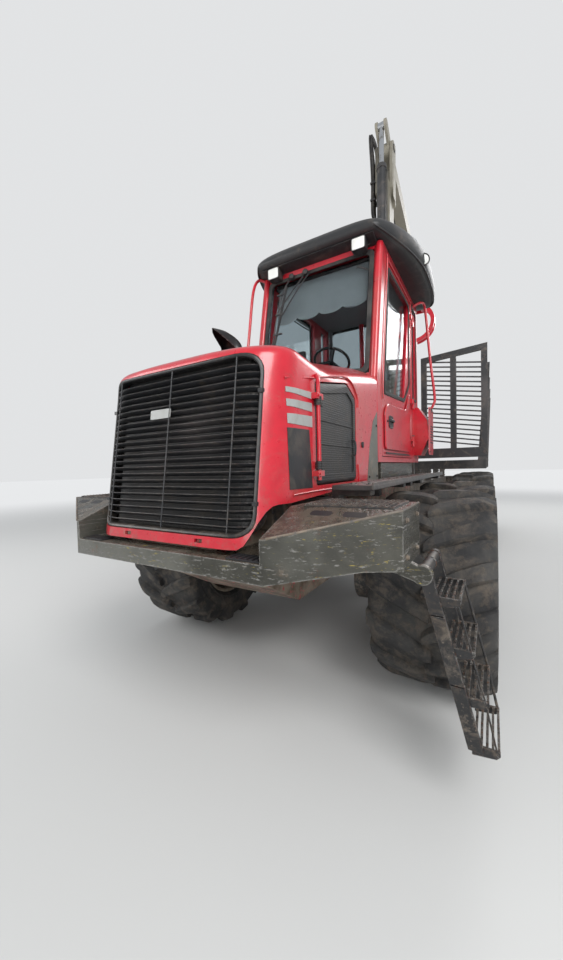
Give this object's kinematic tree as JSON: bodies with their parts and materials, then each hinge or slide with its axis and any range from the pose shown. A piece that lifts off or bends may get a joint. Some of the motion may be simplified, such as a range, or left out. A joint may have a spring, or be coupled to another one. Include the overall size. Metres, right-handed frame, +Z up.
{
  "type": "forestry forwarder",
  "caption": "Articulated log forwarder with eight lugged tyres, red hood and cab, raised crane with grapple, and an empty stake-sided load space behind a slanted-bar gate.",
  "frame": {"origin": "On the ground under the middle of the length and width", "axes": "+X forward, +Y to the machine's left, +Z up"},
  "size_m": [10.6, 3.08, 7.1062],
  "materials": {
    "red_paint": "worn gloss",
    "black_paint": "satin",
    "dark_paint": "worn satin",
    "boom_paint": "faded",
    "olive_steel": "weathered",
    "cast_metal": "rough",
    "cab_glass": "clear",
    "seat_cover": "woven",
    "lamp_lens": "clear",
    "rod_chrome": "polished",
    "tyre_rubber": "worn"
  },
  "bodies": {
    "root": {"front_frame": "red_paint", "bumper": "olive_steel", "engine_block": "cast_metal", "radiator": "cast_metal", "front_bogie_left": "black_paint", "front_bogie_right": "black_paint", "side_boxes": "olive_steel", "walkway_left": "black_paint", "walkway_right": "black_paint", "handrails": "red_paint", "cab_body": "red_paint", "cab_roof": "black_paint", "cab_windows": "cab_glass", "seat_base": "seat_cover", "work_lamps": "lamp_lens"},
    "hood": {"hood_shell": "red_paint", "grille": "black_paint", "exhaust_stack": "black_paint"},
    "hatch_left": {"hatch_left": "black_paint"},
    "hatch_right": {"hatch_right": "black_paint"},
    "door": {"cab_door": "red_paint", "door_window": "cab_glass"},
    "seat": {"seat": "seat_cover"},
    "ladder": {"ladder": "black_paint"},
    "rear": {"rear_frame": "dark_paint", "gate": "dark_paint", "bunk_1": "dark_paint", "bunk_2": "dark_paint", "bunk_3": "dark_paint", "bunk_4": "dark_paint", "rear_bogie_left": "dark_paint", "rear_bogie_right": "dark_paint"},
    "steer_barrel_left": {"steer_barrel_left": "dark_paint"},
    "steer_barrel_right": {"steer_barrel_right": "dark_paint"},
    "steer_rod_left": {"steer_rod_left": "rod_chrome"},
    "steer_rod_right": {"steer_rod_right": "rod_chrome"},
    "crane_pillar": {"crane_pillar": "dark_paint"},
    "main_boom": {"main_boom": "dark_paint"},
    "outer_boom": {"outer_boom": "boom_paint"},
    "boom_extension": {"boom_extension": "boom_paint"},
    "lift_barrel": {"lift_barrel": "dark_paint"},
    "lift_rod": {"lift_rod": "rod_chrome"},
    "fold_barrel": {"fold_barrel": "dark_paint"},
    "fold_rod": {"fold_rod": "rod_chrome"},
    "tip_link": {"tip_link": "dark_paint"},
    "swing_block": {"swing_block": "dark_paint"},
    "rotator": {"rotator": "red_paint"},
    "claw_left": {"claw_left": "red_paint"},
    "claw_right": {"claw_right": "red_paint"},
    "wheel_front_left_1": {"wheel_front_left_1": "tyre_rubber"},
    "wheel_front_left_2": {"wheel_front_left_2": "tyre_rubber"},
    "wheel_front_right_1": {"wheel_front_right_1": "tyre_rubber"},
    "wheel_front_right_2": {"wheel_front_right_2": "tyre_rubber"},
    "wheel_rear_left_1": {"wheel_rear_left_1": "tyre_rubber"},
    "wheel_rear_left_2": {"wheel_rear_left_2": "tyre_rubber"},
    "wheel_rear_right_1": {"wheel_rear_right_1": "tyre_rubber"},
    "wheel_rear_right_2": {"wheel_rear_right_2": "tyre_rubber"}
  },
  "joints": [
    {"name": "roll_front_left_1", "type": "hinge", "parent": "root", "child": "wheel_front_left_1", "pos_m": [3.65, 1.165, 0.7], "axis": [0, 1, 0], "continuous": true},
    {"name": "roll_front_left_2", "type": "hinge", "parent": "root", "child": "wheel_front_left_2", "pos_m": [2.15, 1.165, 0.7], "axis": [0, 1, 0], "continuous": true},
    {"name": "roll_front_right_1", "type": "hinge", "parent": "root", "child": "wheel_front_right_1", "pos_m": [3.65, -1.165, 0.7], "axis": [0, 1, 0], "continuous": true},
    {"name": "roll_front_right_2", "type": "hinge", "parent": "root", "child": "wheel_front_right_2", "pos_m": [2.15, -1.165, 0.7], "axis": [0, 1, 0], "continuous": true},
    {"name": "roll_rear_left_1", "type": "hinge", "parent": "rear", "child": "wheel_rear_left_1", "pos_m": [-1.85, 1.165, 0.7], "axis": [0, 1, 0], "continuous": true},
    {"name": "roll_rear_left_2", "type": "hinge", "parent": "rear", "child": "wheel_rear_left_2", "pos_m": [-3.35, 1.165, 0.7], "axis": [0, 1, 0], "continuous": true},
    {"name": "roll_rear_right_1", "type": "hinge", "parent": "rear", "child": "wheel_rear_right_1", "pos_m": [-1.85, -1.165, 0.7], "axis": [0, 1, 0], "continuous": true},
    {"name": "roll_rear_right_2", "type": "hinge", "parent": "rear", "child": "wheel_rear_right_2", "pos_m": [-3.35, -1.165, 0.7], "axis": [0, 1, 0], "continuous": true},
    {"name": "steering", "type": "hinge", "parent": "root", "child": "rear", "pos_m": [1.1, 0, 1.06], "axis": [0, 0, 1], "range_deg": [-42, 42]},
    {"name": "hood_tilt", "type": "hinge", "parent": "root", "child": "hood", "pos_m": [5.214, 0, 1.234], "axis": [0, 1, 0], "range_deg": [0, 55]},
    {"name": "hatch_left_swing", "type": "hinge", "parent": "hood", "child": "hatch_left", "pos_m": [4.694, 0.676, 1.81], "axis": [0, 0, -1], "range_deg": [0, 110]},
    {"name": "hatch_right_swing", "type": "hinge", "parent": "hood", "child": "hatch_right", "pos_m": [4.694, -0.676, 1.81], "axis": [0, 0, 1], "range_deg": [0, 110]},
    {"name": "door_swing", "type": "hinge", "parent": "root", "child": "door", "pos_m": [1.9, 0.67, 2.6], "axis": [0, 0, 1], "range_deg": [0, 95]},
    {"name": "seat_turn", "type": "hinge", "parent": "root", "child": "seat", "pos_m": [2.3, 0, 1.98], "axis": [0, 0, 1], "range_deg": [0, 180]},
    {"name": "ladder_fold", "type": "hinge", "parent": "root", "child": "ladder", "pos_m": [4.63, 1.24, 1.095], "axis": [1, 0, 0], "range_deg": [0, 95]},
    {"name": "steer_left_turn", "type": "hinge", "parent": "root", "child": "steer_barrel_left", "pos_m": [2, 0.41, 1.06], "axis": [0, 0, 1], "range_deg": [-13.61, 13.61]},
    {"name": "steer_left_stroke", "type": "slide", "parent": "steer_barrel_left", "child": "steer_rod_left", "axis": [-1, 0, 0], "range_m": [-0.2967, 0.2967]},
    {"name": "steer_right_turn", "type": "hinge", "parent": "root", "child": "steer_barrel_right", "pos_m": [2, -0.41, 1.06], "axis": [0, 0, 1], "range_deg": [-13.61, 13.61]},
    {"name": "steer_right_stroke", "type": "slide", "parent": "steer_barrel_right", "child": "steer_rod_right", "axis": [-1, 0, 0], "range_m": [-0.2967, 0.2967]},
    {"name": "slew", "type": "hinge", "parent": "rear", "child": "crane_pillar", "pos_m": [0.5, 0, 1.54], "axis": [0, 0, 1], "range_deg": [-190, 190]},
    {"name": "lift", "type": "hinge", "parent": "crane_pillar", "child": "main_boom", "pos_m": [0.5, 0, 3.3], "axis": [0, 1, 0], "range_deg": [-45, 0]},
    {"name": "fold", "type": "hinge", "parent": "main_boom", "child": "outer_boom", "pos_m": [0.37785, 0, 6.79787], "axis": [0, -1, 0], "range_deg": [-98, 27]},
    {"name": "telescope", "type": "slide", "parent": "outer_boom", "child": "boom_extension", "axis": [0.9397, 0, 0.342], "range_m": [-1.3, 0.28]},
    {"name": "lift_barrel_turn", "type": "hinge", "parent": "crane_pillar", "child": "lift_barrel", "pos_m": [0.17, 0, 1.87], "axis": [0, 1, 0], "range_deg": [-18.29, 0.05]},
    {"name": "lift_stroke", "type": "slide", "parent": "lift_barrel", "child": "lift_rod", "axis": [0.0136, 0, 0.9999], "range_m": [-0.4221, 0.002]},
    {"name": "fold_barrel_turn", "type": "hinge", "parent": "main_boom", "child": "fold_barrel", "pos_m": [0.70749, 0, 4.80816], "axis": [0, 1, 0], "range_deg": [-0.48, 1.6]},
    {"name": "fold_stroke", "type": "slide", "parent": "fold_barrel", "child": "fold_rod", "axis": [-0.0433, 0, 0.9991], "range_m": [-0.5092, 0.1417]},
    {"name": "link_swing", "type": "hinge", "parent": "boom_extension", "child": "tip_link", "pos_m": [-2.11233, 0, 5.89151], "axis": [0, 1, 0], "range_deg": [-50, 105]},
    {"name": "cross_swing", "type": "hinge", "parent": "tip_link", "child": "swing_block", "pos_m": [-2.11233, 0, 5.63151], "axis": [1, 0, 0], "range_deg": [-40, 40]},
    {"name": "rotator_turn", "type": "hinge", "parent": "swing_block", "child": "rotator", "pos_m": [-2.11233, 0, 5.33151], "axis": [0, 0, 1], "continuous": true},
    {"name": "claw_left_close", "type": "hinge", "parent": "rotator", "child": "claw_left", "pos_m": [-2.11233, 0.16, 5.13151], "axis": [-1, 0, 0], "range_deg": [-65, 10]},
    {"name": "claw_right_close", "type": "hinge", "parent": "rotator", "child": "claw_right", "pos_m": [-2.11233, -0.16, 5.13151], "axis": [1, 0, 0], "range_deg": [-65, 10]}
  ],
  "couplings": [
    {"joint": "steer_left_turn", "follows": "steering", "ratio": 0.32294},
    {"joint": "steer_left_stroke", "follows": "steering", "m_per_rad": 0.402},
    {"joint": "steer_right_turn", "follows": "steering", "ratio": 0.32294},
    {"joint": "steer_right_stroke", "follows": "steering", "m_per_rad": -0.402},
    {"joint": "lift_barrel_turn", "follows": "lift", "ratio": 0.40529},
    {"joint": "lift_stroke", "follows": "lift", "m_per_rad": 0.53487},
    {"joint": "fold_barrel_turn", "follows": "fold", "ratio": -0.015801},
    {"joint": "fold_stroke", "follows": "fold", "m_per_rad": 0.29655},
    {"joint": "claw_right_close", "follows": "claw_left_close", "ratio": 1}
  ]
}
